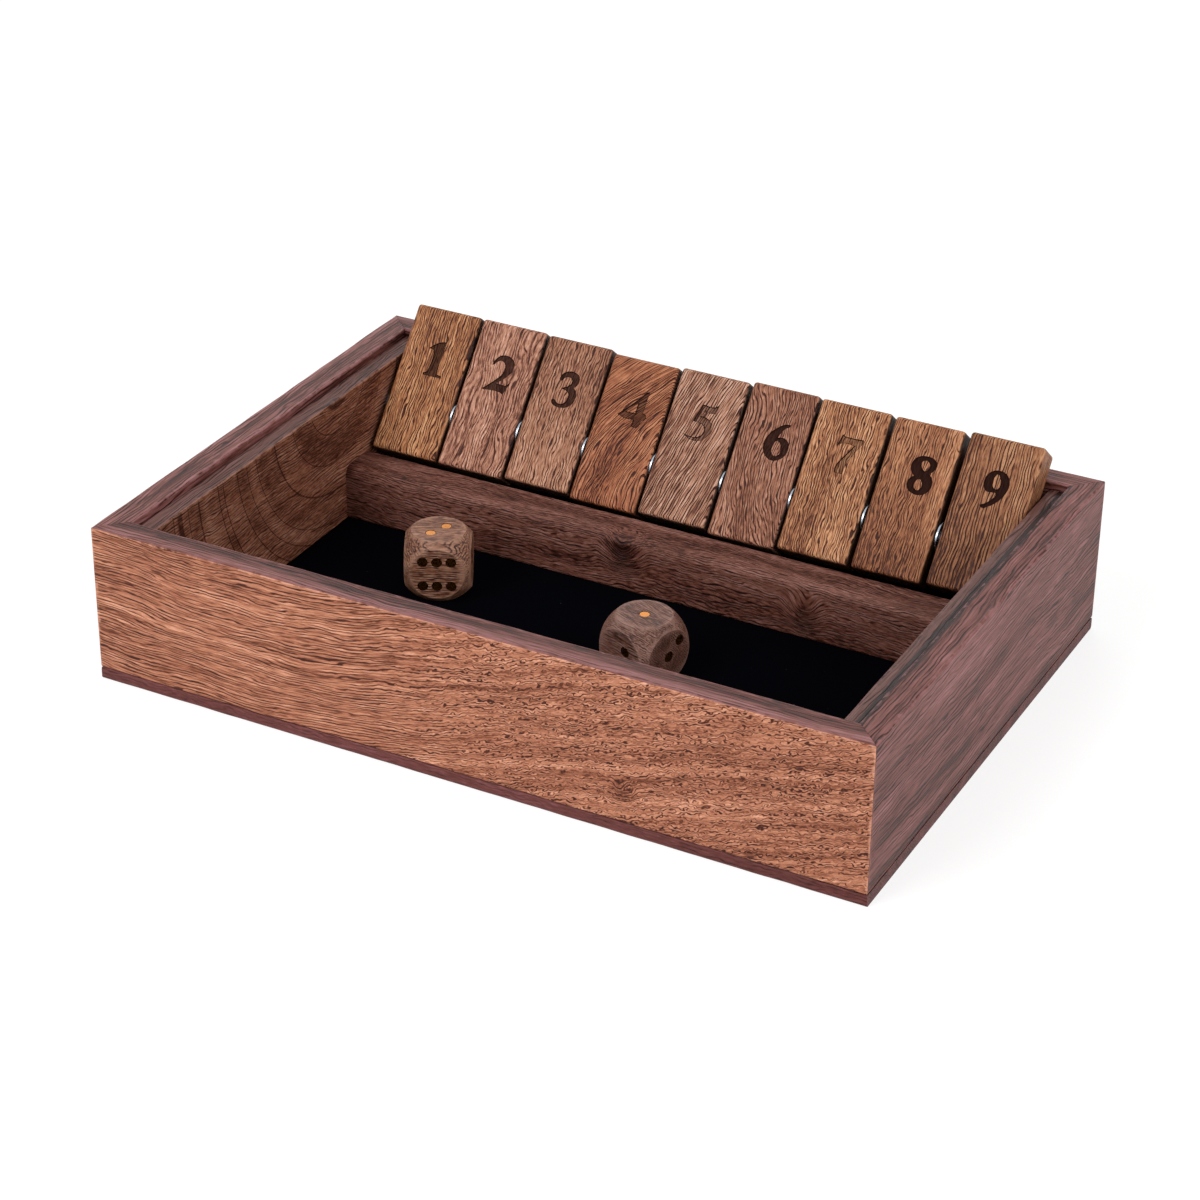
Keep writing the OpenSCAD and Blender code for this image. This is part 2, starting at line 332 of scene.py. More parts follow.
def board(low, high, radius, uneven=0.45, pitch=0.004, segments=3, swell=lambda corner: 1.0):
    """A board between two corners, its four long edges rounded by hand and so a little uneven. swell says how
    many times more than radius a place is rounded."""
    size = high - low
    middle = (low + high) / 2
    lumps = 900
    long_lumps = 90
    long = 0 if size.x > size.y else 1
    across = [axis for axis in range(3) if axis != long]
    shape = bmesh.new()
    bmesh.ops.create_cube(shape, size=1)
    bmesh.ops.scale(shape, vec=size, verts=shape.verts)
    made = bmesh.ops.bevel(shape, geom=edges_along(shape, long, size[long]), affect="EDGES", offset=radius,
                           segments=segments, profile=0.5, material=-1)
    for face in made["faces"]:
        face.smooth = True
    bmesh.ops.subdivide_edges(shape, edges=edges_along(shape, long, size[long]), cuts=int(size[long] / pitch),
                              use_grid_fill=True)
    for vert in shape.verts:
        corner = vert.co.copy()
        for axis in across:
            corner[axis] = math.copysign(size[axis] / 2, vert.co[axis])
        inset = vert.co - corner
        if max(abs(inset[axis]) for axis in across) < radius * 1.01:
            seed = corner * lumps
            seed[long] = vert.co[long] * long_lumps
            vert.co = corner + inset * (1 + uneven * noise.noise(seed)) * swell(corner)
    bmesh.ops.translate(shape, vec=middle, verts=shape.verts)
    return shape


along_x = (0, 0, 0)
along_y = (0, 0, math.pi / 2)
base_low, base_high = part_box("base_board")
base_wood = wood("base_stained", (base_low + base_high) / 2, along_x, (92, 46, 42), 3.1,
                 creases=(0.008, 0.0012, 0.4, 2.5), fibres=(0.004, 0.0008, 1.0))
base_radius = 0.9 * MM
base = board(base_low, base_high, base_radius)
finish_piece("base_board_stained", base, [base_wood], "base_board")

# Felt: black wool felt, cut to the floor of the box and glued to the base board before the rail goes in.
# Its nap is short and matt, and it holds a little pale lint.
felt_low, felt_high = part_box("felt")
felt_size = felt_high - felt_low
felt_nap = 0.12 * MM
felt_lumps = 900
felt_cuts = (150, 105)
felt_shape = bmesh.new()
bmesh.ops.create_cube(felt_shape, size=1)
bmesh.ops.scale(felt_shape, vec=felt_size, verts=felt_shape.verts)
for axis, cuts in enumerate(felt_cuts):
    parallel = edges_along(felt_shape, axis, felt_size[axis])
    bmesh.ops.subdivide_edges(felt_shape, edges=parallel, cuts=cuts, use_grid_fill=True)
for vert in felt_shape.verts:
    if vert.co.z > 0:
        vert.co.z -= felt_nap * (0.5 + 0.5 * noise.noise(vert.co * felt_lumps))
bmesh.ops.translate(felt_shape, vec=(felt_low + felt_high) / 2, verts=felt_shape.verts)
for face in felt_shape.faces:
    face.smooth = abs(face.normal.z) > 0.5
felt_cloth, wool = blank_material("felt_cloth")
wool_spot = add(wool, "TexCoord").outputs["Object"]
wool_plugs = {"Vector": wool_spot, "Scale": 2600.0, "Detail": 4.0, "Roughness": 0.7}
wool_fuzz = add(wool, "TexNoise", wool_plugs).outputs["Fac"]
wool_lint = add(wool, "TexNoise", {"Vector": wool_spot, "Scale": 900.0, "Detail": 1.0}).outputs["Fac"]
wool_base = mix_colours(wool, wool_fuzz, shade(2, 2, 5), shade(11, 12, 17))
wool_colour = mix_colours(wool, rise(wool, wool_lint, 0.79, 0.84), wool_base, shade(90, 88, 96))
wool_bump = add(wool, "Bump", {"Strength": 0.8, "Distance": relief, "Height": wool_fuzz}).outputs[0]
wool_plugs = {"Base Color": wool_colour, "Roughness": 1.0, "Normal": wool_bump, "Specular IOR Level": 0.0}
wool_surface = add(wool, "BsdfPrincipled", wool_plugs)
add(wool, "OutputMaterial", {"Surface": wool_surface.outputs[0]})
felt_sheet = finish_piece("felt_sheet", felt_shape, [felt_cloth], "felt")


# Walls: four hardwood boards with mitred ends, glued to each other and down on the base board.
# The front board's face is planed pale; the other faces are stained dark, and every rim edge is worn.
def cut_off(shape, place, outward):
    """Cuts away what lies beyond a plane, and closes the cut."""
    geometry = list(shape.verts) + list(shape.edges) + list(shape.faces)
    cut = bmesh.ops.bisect_plane(shape, geom=geometry, dist=1e-7, plane_co=place, plane_no=outward,
                                 clear_outer=True)
    rim = [item for item in cut["geom_cut"] if isinstance(item, bmesh.types.BMEdge)]
    bmesh.ops.holes_fill(shape, edges=rim)


def mitred(shape, name):
    """Cuts a wall's ends at 45 degrees where the box's corners are, and leaves a hair's gap in each joint."""
    low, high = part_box(name)
    joint_gap = 0.05 * MM
    sideways = high.y - low.y < high.x - low.x
    outer = (high.y if high.y > 0 else low.y) if sideways else (high.x if high.x > 0 else low.x)
    for end in (-1, 1):
        if sideways:
            corner = Vector((end * high.x, outer, 0))
        else:
            corner = Vector((outer, end * high.y, 0))
        across = Vector((corner.x / abs(corner.x), -corner.y / abs(corner.y), 0)) / math.sqrt(2)
        if across.dot((low + high) / 2 - corner) > 0:
            across = -across
        cut_off(shape, corner - across * joint_gap, across)
    return shape


def paint_faces(shape, index, test):
    """Gives the faces that pass the test another material."""
    for face in shape.faces:
        if test(face):
            face.material_index = index


stain = (112, 66, 60)
stained_pores = dict(rings=(0.006, 0.8, 0.2), creases=(0.03, 0.0014, 0.7, 2.5), fibres=(0.012, 0.0007, 1.4))
wall_radius = 0.8 * MM
front_foot = -58 * MM
front_turn = 30 * MM
front_fall = -0.06
front_climb = 0.27


def climbing(tree, inside):
    """Lets the grain fall gently to the right as far as a hill's foot, and climb from there."""
    parts = add(tree, "SeparateXYZ", {0: inside}).outputs
    away = calculate(tree, "SUBTRACT", parts[0], front_foot)
    curve = calculate(tree, "SQRT", calculate(tree, "MULTIPLY_ADD", away, away, front_turn ** 2))
    height = calculate(tree, "MULTIPLY", away, (front_fall + front_climb) / 2)
    height = calculate(tree, "MULTIPLY_ADD", curve, (front_climb - front_fall) / 2, height)
    plugs = {0: parts[0], 1: parts[1], 2: calculate(tree, "SUBTRACT", parts[2], height)}
    return add(tree, "CombineXYZ", plugs).outputs[0]


front_low, front_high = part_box("front_wall")
front_edges = rim_edges(front_low, front_high)
front_middle = (front_low + front_high) / 2
front_knots = [((0.059, -0.005, -0.017), 0.008, 0.003)]
front_pale = wood("front_pale", front_middle, along_x, (176, 112, 84), 7.3, figure=climbing,
                  bend=(0.03, 0.0016), curl=(0.0018, 0.0007), curl_span=(-0.05, 0.03),
                  rings=(0.004, 0.5, 0.1), taper=0.0, heart=(0, 0, -0.3), streaks=0.8,
                  creases=(0.012, 0.001, 0.9, 2.0), fibres=(0.007, 0.0005, 1.4), knots=front_knots,
                  edges=front_edges)
front_stained = wood("front_stained", front_middle, along_x, stain, 7.3, edges=front_edges, **stained_pores)
front = mitred(board(front_low, front_high, wall_radius), "front_wall")
paint_faces(front, 1, lambda face: face.normal.y > -0.8)
finish_piece("front_board", front, [front_pale, front_stained], "front_wall")


def joint_shade(wall_side, reach):
    """Measures the distance to the joint between an end wall and its liner, where shade is painted dark."""
    def measure(tree, spot):
        across = add(tree, "SeparateXYZ", {0: spot}).outputs[0]
        away = calculate(tree, "ABSOLUTE", calculate(tree, "SUBTRACT", across, wall_side))
        return calculate(tree, "SUBTRACT", away, reach)
    return measure


# The right wall's inner rim edge is painted dark along its joint with the liner, as painted shade.
wall_looks = {
    "back": (along_x, stain, 11.9, 0),
    "left": (along_y, (120, 73, 67), 17.2, 0),
    "right": (along_y, stain, 23.8, 1.3 * MM),
}
for wall_name, (wall_grain, wall_stain, wall_seed, reach) in wall_looks.items():
    wall_low, wall_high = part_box(wall_name + "_wall")
    wall_edges = rim_edges(wall_low, wall_high)
    inner_side = min(wall_low.x, wall_high.x, key=abs)
    wall_joint_shade = joint_shade(inner_side, reach) if reach else None
    wall_wood = wood(wall_name + "_stained", (wall_low + wall_high) / 2, wall_grain, wall_stain, wall_seed,
                     edges=wall_edges, painted_shade=wall_joint_shade, **stained_pores)
    wall = mitred(board(wall_low, wall_high, wall_radius), wall_name + "_wall")
    finish_piece(wall_name + "_board", wall, [wall_wood], wall_name + "_wall")

# Liners: a thinner board inside each end wall, a few millimetres lower, glued flat against it.
# Each is drilled for the rod before it goes in, so that the rod can't slide out through the wall.
rod_low, rod_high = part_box("pivot_rod")
rod_middle = (rod_low + rod_high) / 2
liner_bore = 3.02 * MM
liner_radius = 0.6 * MM
liner_drill = 20 * MM
liner_heart = (30 * MM, 0, 31.5 * MM)


def carve(piece, cutter_shape):
    """Cuts a solid out of a piece. What is cut gets the material of the solid's faces."""
    mesh = bpy.data.meshes.new("cutter")
    cutter_shape.to_mesh(mesh)
    cutter_shape.free()
    for material in piece.data.materials:
        mesh.materials.append(material)
    cutter = bpy.data.objects.new("cutter", mesh)
    scene.collection.objects.link(cutter)
    cut = piece.modifiers.new("cut", "BOOLEAN")
    cut.operation = "DIFFERENCE"
    cut.solver = "EXACT"
    cut.material_mode = "INDEX"
    cut.object = cutter
    bpy.context.view_layer.update()
    carved = bpy.data.meshes.new_from_object(piece.evaluated_get(bpy.context.evaluated_depsgraph_get()))
    piece.modifiers.clear()
    old = piece.data
    piece.data = carved
    carved.name = piece.name
    bpy.data.meshes.remove(old)
    bpy.data.objects.remove(cutter)
    bpy.data.meshes.remove(mesh)


def rod_drill(shape, radius, length):
    """Adds a drill for the rod to a cutter, at the origin."""
    bmesh.ops.create_cone(shape, segments=48, radius1=radius, radius2=radius, depth=length, cap_ends=True,
                          matrix=Matrix.Rotation(math.pi / 2, 4, "Y"))


# Each liner is painted dark along its joint with the wall, as painted shade where the wall rises above it.
liner_looks = {"left": ((126, 78, 58), 31.4, 0.4 * MM), "right": ((104, 64, 56), 37.7, 2.8 * MM)}
for side, (liner_middle, seed, reach) in liner_looks.items():
    liner_low, liner_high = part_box(side + "_liner")
    liner_edges = rim_edges(liner_low, liner_high, past=(0, 0.01))
    wall_side = max(liner_low.x, liner_high.x, key=abs)
    liner_wood = wood(side + "_liner_wood", (liner_low + liner_high) / 2, along_y, liner_middle, seed,
                      rings=(0.012, 0.6, 0.5), heart=liner_heart, taper=1.0, edges=liner_edges,
                      creases=(0.014, 0.0011, 0.9, 2.0), painted_shade=joint_shade(wall_side, reach))
    liner = board(liner_low, liner_high, liner_radius)
    liner_top = wood(side + "_liner_top", (liner_low + liner_high) / 2, along_y, (90, 56, 49), seed,
                     edges=liner_edges, painted_shade=joint_shade(wall_side, reach), **stained_pores)
    paint_faces(liner, 1, lambda face: face.normal.z > 0.8)
    liner = finish_piece(side + "_liner_board", liner, [liner_wood, liner_top], side + "_liner")
    drill = bmesh.new()
    rod_drill(drill, liner_bore, liner_drill)
    bmesh.ops.translate(drill, vec=(liner_low.x, rod_middle.y, rod_middle.z), verts=drill.verts)
    carve(liner, drill)

# Divider rail: a square bar across the box between the liners, glued down on the felt.
# It fences the dice tray off, and its rounded front edge catches the tiles that are flipped.
rail_low, rail_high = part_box("divider_rail")
rail_edges = rim_edges(rail_low, rail_high, past=(0.01, 0))
rail_knots = [((-0.011, -0.006, 0.004), 0.012, 0.007), ((0.061, -0.007, 0), 0.011, 0.006)]
rail_wood = wood("rail_stained", (rail_low + rail_high) / 2, along_x, (110, 67, 55), 41.5, bend=(0.04, 0.003),
                 rings=(0.006, 0.8, 0.1), streaks=1.4, creases=(0.008, 0.0011, 0.9, 2.5), knots=rail_knots,
                 edges=rail_edges, wear_and_highlight=0.2)
rail_radius = 1.2 * MM


def rail_swell(corner):
    """The rail's upper front edge is rounded most, and at its left end more than at its right."""
    if corner.y > 0 or corner.z < 0:
        return 1.0
    return (3.4 - 1.1 * corner.x / rail_high.x) * MM / rail_radius


rail = board(rail_low, rail_high, rail_radius, uneven=0.25, segments=6, swell=rail_swell)
finish_piece("rail_bar", rail, [rail_wood], "divider_rail")

# Rod: a bright drawn steel rod through both liners and all nine tiles, with its ends chamfered.
# It is cut to the inside length of the walls, which keep it in place.
steel, metal = blank_material("bright_steel")
metal_spot = add(metal, "TexCoord").outputs["Object"]
metal_plugs = {"Vector": metal_spot, "Scale": (9000, 900, 900)}
metal_lines = add(metal, "Mapping", metal_plugs).outputs[0]
metal_scratch = add(metal, "TexNoise", {"Vector": metal_lines, "Scale": 1.0, "Detail": 3.0}).outputs["Fac"]
metal_bump = add(metal, "Bump", {"Strength": 0.15, "Distance": 0.00005, "Height": metal_scratch}).outputs[0]
metal_plugs = {"Base Color": mix_colours(metal, metal_scratch, (0.36, 0.4, 0.46, 1), (0.5, 0.55, 0.61, 1)),
               "Roughness": rise(metal, metal_scratch, 0.3, 0.7, 0.16, 0.34),
               "Metallic": 1.0, "Normal": metal_bump}
metal_surface = add(metal, "BsdfPrincipled", metal_plugs)
add(metal, "OutputMaterial", {"Surface": metal_surface.outputs[0]})
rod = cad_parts["pivot_rod"]
rod.data.materials.clear()
rod.data.materials.append(steel)

# Spacer washers: one thin stamped steel washer on the rod in each gap between two tiles.
# They keep the tiles apart, and show as bright crescents between them.
washer_radius = 6 * MM
washer_bore = 3.04 * MM
washer_thickness = 0.7 * MM
washer_edge = 0.16 * MM
washers = bmesh.new()
for number in range(1, 9):
    gap_middle = (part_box(f"tile_{number}")[1].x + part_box(f"tile_{number + 1}")[0].x) / 2
    corner_list = ((-1, washer_bore), (1, washer_bore), (1, washer_radius), (-1, washer_radius))
    section = [(side * washer_thickness / 2, reach) for side, reach in corner_list]
    corners = [washers.verts.new((gap_middle + x, 0, z)) for x, z in section]
    blank = washers.faces.new(corners)
    rounded = bmesh.ops.bevel(washers, geom=corners, affect="VERTICES", offset=washer_edge, segments=3,
                              profile=0.5, material=-1)
    outline = [face for face in washers.faces if face.normal.y and len(face.verts) > 8][-1]
    ring = list(outline.verts) + list(outline.edges)
    bmesh.ops.delete(washers, geom=[outline], context="FACES_ONLY")
    bmesh.ops.spin(washers, geom=ring, cent=(gap_middle, 0, 0), axis=(1, 0, 0), angle=2 * math.pi, steps=64,
                   use_merge=True)
bmesh.ops.recalc_face_normals(washers, faces=washers.faces)
bmesh.ops.translate(washers, vec=Vector((0, rod_middle.y, rod_middle.z)), verts=washers.verts)
finish_piece("washer_set", washers, [steel], "spacer_washers")

# Tiles: nine blocks of odd hardwood scraps, each sawn, eased along every edge and drilled across for the rod.
# Each one's number is burnt and cut about half a millimetre into its face, and the grain runs up the tile.
numeral_depth = 0.55 * MM
numeral_slope = 0.2 * MM
numeral_foot = 12.3 * MM
# Each number's outlines in millimetres, across and up, with a third value at a corner.
numerals = {
    1: [[(-1.8, 10.4, 1), (0.6, 12.4), (3.0, 13.4), (4.1, 13.5, 1), (4.0, 2.2), (4.3, 0.9), (6.3, 0.4, 1),
         (6.3, -0.1, 1), (-1.3, -0.1, 1), (-1.3, 0.4, 1), (-0.1, 1.0), (0.3, 2.2), (0.2, 9.4), (-0.4, 10.1),
         (-1.8, 10.2, 1)]],
    2: [[(-2.8, 9.8, 1), (-2.2, 11.7), (-0.9, 13.2), (1.4, 13.9), (3.8, 13.4), (5.4, 12.0), (5.8, 10.1),
         (5.0, 7.6), (3.3, 5.4), (0.5, 2.9, 1), (3.4, 2.7), (4.8, 2.6), (6.2, 4.0, 1), (5.5, 1.8),
         (4.7, -0.4, 1), (3.2, 0.1), (-3.9, -0.1, 1), (-1.8, 2.0), (0.3, 4.2), (2.0, 6.4), (2.6, 8.9),
         (2.0, 11.0), (0.4, 11.9), (-1.2, 11.4), (-2.4, 9.9, 1)]],
    3: [[(-3.0, 10.3, 1), (-2.1, 12.4), (-0.4, 13.5), (1.9, 13.7), (4.2, 12.6), (4.9, 10.8), (4.4, 9.2),
         (3.2, 8.1, 1), (4.7, 6.7), (5.4, 4.6), (4.8, 2.2), (3.2, 0.6), (0.9, -0.1), (-1.4, 0.0), (-2.9, 0.7),
         (-3.4, 2.0), (-2.6, 2.1), (-1.2, 1.1), (0.5, 0.9), (1.9, 1.9), (2.6, 4.0), (2.2, 5.8), (0.9, 6.6),
         (-0.9, 7.0, 1), (1.2, 8.1), (2.3, 9.6), (2.0, 11.1), (0.6, 11.8), (-1.0, 11.3), (-2.3, 9.9)]],
    4: [[(5.0, 12.9, 1), (4.9, 4.8, 1), (6.4, 4.0), (6.4, 2.7, 1), (4.9, 2.0, 1), (4.7, -0.1), (3.6, -0.9),
         (2.1, -0.7, 1), (2.2, 1.9, 1), (-1.4, 1.8), (-4.3, 2.6, 1), (-0.9, 6.3), (3.0, 10.9), (4.0, 12.4)],
        [(2.2, 8.4, 1), (0.2, 6.3), (-2.1, 4.1, 1), (2.2, 4.0, 1)]],
    5: [[(-1.5, 13.1, 1), (3.4, 13.1), (4.6, 14.0, 1), (4.3, 12.2), (4.0, 10.9, 1), (-1.0, 10.7, 1),
         (-1.4, 8.7, 1), (0.6, 8.7), (2.6, 7.8), (3.9, 6.1), (4.1, 4.2), (3.3, 1.9), (1.7, 0.4), (-0.6, -0.3),
         (-3.2, 0.1), (-4.9, 0.9, 1), (-2.7, 0.6), (-0.4, 0.8), (1.3, 1.9), (2.0, 3.7), (1.4, 5.4),
         (-0.1, 6.4), (-3.2, 6.7, 1), (-2.4, 9.8)]],
    6: [[(4.9, 13.1, 1), (3.2, 12.9), (0.7, 11.2), (-1.4, 8.9), (-2.6, 6.2), (-2.7, 3.8), (-1.8, 1.6),
         (-0.2, 0.0), (2.1, -0.6), (4.4, 0.1), (6.1, 1.9), (6.7, 4.3), (6.2, 6.3), (4.9, 7.6), (3.2, 7.9),
         (1.5, 7.5, 1), (2.1, 9.6), (3.3, 11.5), (4.9, 12.6, 1)],
        [(1.7, 6.7), (3.1, 6.2), (4.1, 4.1), (4.2, 2.0), (2.8, 0.8), (1.2, 1.4), (0.5, 3.5), (0.7, 5.5)]],
    7: [[(-4.0, 10.3, 1), (-3.2, 14.0, 1), (-1.4, 13.7), (4.9, 13.8, 1), (4.9, 12.8, 1), (3.0, 9.0),
         (1.5, 5.5), (0.7, 2.8), (0.5, 0.5, 1), (-2.2, 0.5, 1), (-2.3, 2.8), (-1.1, 5.5), (1.0, 9.0),
         (2.3, 11.5, 1), (-2.6, 11.4)]],
    8: [[(1.3, 13.5), (3.7, 13.1), (5.3, 11.7), (5.2, 9.8), (3.4, 7.6, 1), (4.9, 6.2), (5.6, 4.2), (5.2, 2.0),
         (3.9, 0.4), (1.6, -0.4), (-0.7, -0.1), (-2.5, 1.0), (-3.2, 2.9), (-2.7, 4.7), (-1.3, 5.9, 1),
         (-2.9, 7.3), (-3.6, 9.2), (-3.3, 11.1), (-1.8, 12.8)],
        [(1.1, 12.3), (3.0, 11.2), (3.0, 9.2), (1.7, 8.2), (0.1, 9.4), (-0.4, 11.1)],
        [(0.8, 5.3), (2.1, 4.1), (2.3, 2.4), (1.1, 0.9), (-0.5, 1.7), (-0.7, 3.9)]],
    9: [[(-0.3, 14.5), (2.2, 13.9), (3.9, 12.0), (4.4, 9.7), (4.0, 7.4), (2.8, 5.0), (1.1, 3.0), (-0.8, 1.5),
         (-2.7, 0.6), (-3.6, 1.2, 1), (-1.7, 2.4), (-0.1, 4.0), (0.9, 5.7), (0.7, 6.9, 1), (-1.1, 6.7),
         (-3.1, 6.8), (-4.3, 8.3), (-4.6, 10.4), (-3.9, 12.6), (-2.3, 14.0)],
        [(-0.6, 13.4), (0.7, 12.3), (1.5, 10.0), (1.2, 8.4), (0.1, 7.7), (-1.2, 8.5), (-1.7, 10.4),
         (-1.5, 12.2)]],
}


def numeral_cutter(number):
    """A thin solid in the number's shape, at the origin in the XY plane, in millimetres."""
    line = bpy.data.curves.new(f"numeral_{number}", "CURVE")
    line.dimensions = "2D"
    line.fill_mode = "BOTH"
    line.extrude = 1.0
    line.resolution_u = 8
    for outline in numerals[number]:
        spline = line.splines.new("BEZIER")
        spline.use_cyclic_u = True
        spline.bezier_points.add(len(outline) - 1)
        for point, (x, y, *corner) in zip(spline.bezier_points, outline):
            point.co = (x, y, 0)
            point.handle_left_type = point.handle_right_type = "VECTOR" if corner else "AUTO"
    holder = bpy.data.objects.new(line.name, line)
    scene.collection.objects.link(holder)
    solid = bpy.data.meshes.new_from_object(holder.evaluated_get(bpy.context.evaluated_depsgraph_get()))
    shape = bmesh.new()
    shape.from_mesh(solid)
    bmesh.ops.remove_doubles(shape, verts=shape.verts, dist=0.001)
    bmesh.ops.recalc_face_normals(shape, faces=shape.faces)
    paint_faces(shape, 2, lambda face: True)
    paint_faces(shape, 1, lambda face: abs(face.normal.z) > 0.5)
    bpy.data.objects.remove(holder)
    bpy.data.curves.remove(line)
    bpy.data.meshes.remove(solid)
    return shape


def scorch_edge(piece):
    """Slopes the edge round a number that has been cut, and gives the slope the scorched material."""
    shape = bmesh.new()
    shape.from_mesh(piece.data)
    outline = [edge for edge in shape.edges
               if sorted(face.material_index for face in edge.link_faces) == [0, 2]]
    made = bmesh.ops.bevel(shape, geom=outline, affect="EDGES", offset=numeral_slope, segments=1, profile=0.5,
                           material=-1)
    for face in made["faces"]:
        face.material_index = 2
    shape.to_mesh(piece.data)
    shape.free()


widest = max(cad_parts["tile_1"].data.polygons, key=lambda face: face.area)
lean = math.atan2(abs(widest.normal.z), abs(widest.normal.y))
stand_up = Matrix.Rotation(lean, 3, "X")
lean_back = Matrix.Rotation(-lean, 3, "X")
tile_bore = 3.08 * MM
tile_drill = 40 * MM
tile_round = 1.2 * MM


def swept(tree, inside):
    """Lets the grain lean over more and more towards the head of the tile."""
    parts = add(tree, "SeparateXYZ", {0: inside}).outputs
    slope = calculate(tree, "MULTIPLY_ADD", parts[0], 12.0, 0.53)
    aside = calculate(tree, "MULTIPLY", parts[0], slope)
    plugs = {0: parts[0], 1: parts[1], 2: calculate(tree, "ADD", parts[2], aside)}
    return add(tree, "CombineXYZ", plugs).outputs[0]


def shaded_sides(centre, half, right):
    """Measures how far a point on a tile lies from its sawn sides and foot, which are painted dark as the
    shade in the gaps. The right side may be left unpainted.
    """
    def measure(tree, spot):
        plugs = {"Vector": spot, "Location": centre, "Rotation": lean_back.to_euler()}
        inside = add(tree, "Mapping", plugs, vector_type="TEXTURE").outputs[0]
        parts = add(tree, "SeparateXYZ", {0: inside}).outputs
        nearest = calculate(tree, "MINIMUM", calculate(tree, "ADD", parts[0], half.x),
                            calculate(tree, "ADD", parts[2], half.z))
        if right:
            nearest = calculate(tree, "MINIMUM", nearest, calculate(tree, "SUBTRACT", half.x, parts[0]))
        return nearest
    return measure


tile_looks = {
    1: dict(aside=-1.2, middle=(161, 103, 66), char=0.85, creases=(0.008, 0.0009, 1.5, 2.5), fade=-4),
    2: dict(aside=-1.1, middle=(176, 122, 98), char=0.9, bend=(0.015, 0.002),
            creases=(0.01, 0.0012, 0.8, 2.5), streaks=0.6),
    3: dict(aside=-0.7, middle=(160, 108, 82), char=0.9, creases=(0.006, 0.001, 1.0, 2.5), streaks=0.6,
            fade=-3),
    4: dict(aside=-0.2, middle=(148, 86, 56), char=0.7, figure=swept, bend=(0.02, 0.002),
            creases=(0.012, 0.001, 1.5, 3.0), fade=4),
    5: dict(aside=0.2, middle=(162, 112, 88), char=0.5, turn=14, creases=(0.012, 0.0009, 1.6, 2.0),
            fibres=(0.006, 0.0006, 2.2)),
    6: dict(aside=0.6, middle=(147, 95, 72), char=0.95, turn=-8, bend=(0.02, 0.002),
            creases=(0.008, 0.0009, 1.4, 2.5)),
    7: dict(aside=1.3, middle=(164, 107, 72), char=0.45, creases=(0.006, 0.0008, 1.6, 2.5)),
    8: dict(aside=1.3, middle=(150, 94, 62), char=1.0, creases=(0.007, 0.0009, 1.1, 2.5), fade=6),
    9: dict(aside=0.6, middle=(143, 91, 60), char=1.0, creases=(0.014, 0.001, 1.4, 2.0), fade=6),
}
scorched = wood("scorched_wood", (0, 0, 0), along_x, (120, 80, 60), 47.3, char=1.0)
for number, look in tile_looks.items():
    node = f"tile_{number}"
    low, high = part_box(node)
    pivot = Vector(((low.x + high.x) / 2, rod_middle.y, rod_middle.z))
    upright = [stand_up @ (vert.co - pivot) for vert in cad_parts[node].data.vertices]
    foot = Vector([min(point[axis] for point in upright) for axis in range(3)])
    head = Vector([max(point[axis] for point in upright) for axis in range(3)])
    block = bmesh.new()
    bmesh.ops.create_cube(block, size=1)
    bmesh.ops.scale(block, vec=head - foot, verts=block.verts)
    eased = bmesh.ops.bevel(block, geom=block.edges, affect="EDGES", offset=tile_round, segments=3,
                            profile=0.5, material=-1)
    for face in eased["faces"]:
        face.smooth = True
    place = Matrix.Translation(pivot) @ lean_back.to_4x4()
    bmesh.ops.transform(block, matrix=place @ Matrix.Translation((foot + head) / 2), verts=block.verts)
    tilt = math.radians(look.pop("turn", 0)) - math.pi / 2
    grain = (lean_back @ Matrix.Rotation(tilt, 3, "Y")).to_euler()
    char = look.pop("char")
    aside = look.pop("aside") * MM
    look.update(seed=50 + 3.7 * number, heart=(0.0, -0.05, 0.03 * math.sin(number)))
    centre = pivot + lean_back @ ((foot + head) / 2)
    # The sides and foot of each tile are painted dark, as painted shade in the gaps between tiles; the last
    # tile's open right side is left unpainted.
    side_shade = shaded_sides(centre, (head - foot) / 2, number < 9)
    tile_wood = wood(node + "_wood", centre, grain, painted_shade=side_shade, **look)
    tile_burnt = wood(node + "_burnt", centre, grain, char=char, **look)
    tile = finish_piece(f"tile_{number}_block", block, [tile_wood, tile_burnt, scorched], node,
                        body=node)
    cutter = numeral_cutter(number)
    bmesh.ops.scale(cutter, vec=(MM, MM, numeral_depth), verts=cutter.verts)
    bmesh.ops.rotate(cutter, cent=(0, 0, 0), matrix=Matrix.Rotation(math.pi / 2, 3, "X"), verts=cutter.verts)
    bmesh.ops.translate(cutter, vec=(aside, foot.y, numeral_foot), verts=cutter.verts)
    bmesh.ops.transform(cutter, matrix=place, verts=cutter.verts)
    carve(tile, cutter)
    scorch_edge(tile)
    drill = bmesh.new()
    rod_drill(drill, tile_bore, tile_drill)
    paint_faces(drill, 2, lambda face: True)
    bmesh.ops.transform(drill, matrix=place, verts=drill.verts)
    carve(tile, drill)

# Dice: two hardwood cubes turned down to the overlap of a cube and a ball, so that they roll well.
# Each face keeps a round flat, drilled for its pips, with a pale rim: partly rubbed by handling and partly a
# painted highlight of the rounded rim.
die_size = 24 * MM
die_flat = 19.8 * MM
die_ball = math.hypot(die_size / 2, die_flat / 2)
die_snap = 0.06 * MM
pip_hole = 1.95 * MM
pip_radius = 1.75 * MM
pip_depth = 2 * MM
pip_sunk = 0.12 * MM
pip_over = 0.5 * MM
pip_side = 5.1 * MM
pip_up = 4.8 * MM
pip_two = 2.65 * MM
face_turns = [(0, 0, 0), (90, 0, 0), (90, 0, 90), (90, 0, -90), (90, 0, 180), (180, 0, 0)]


def turned(degrees_xyz):
    """The turn about X, then Y, then Z."""
    about_x, about_y, about_z = (math.radians(angle) for angle in degrees_xyz)
    upright = Matrix.Rotation(about_z, 4, "Z") @ Matrix.Rotation(about_y, 4, "Y")
    return upright @ Matrix.Rotation(about_x, 4, "X")


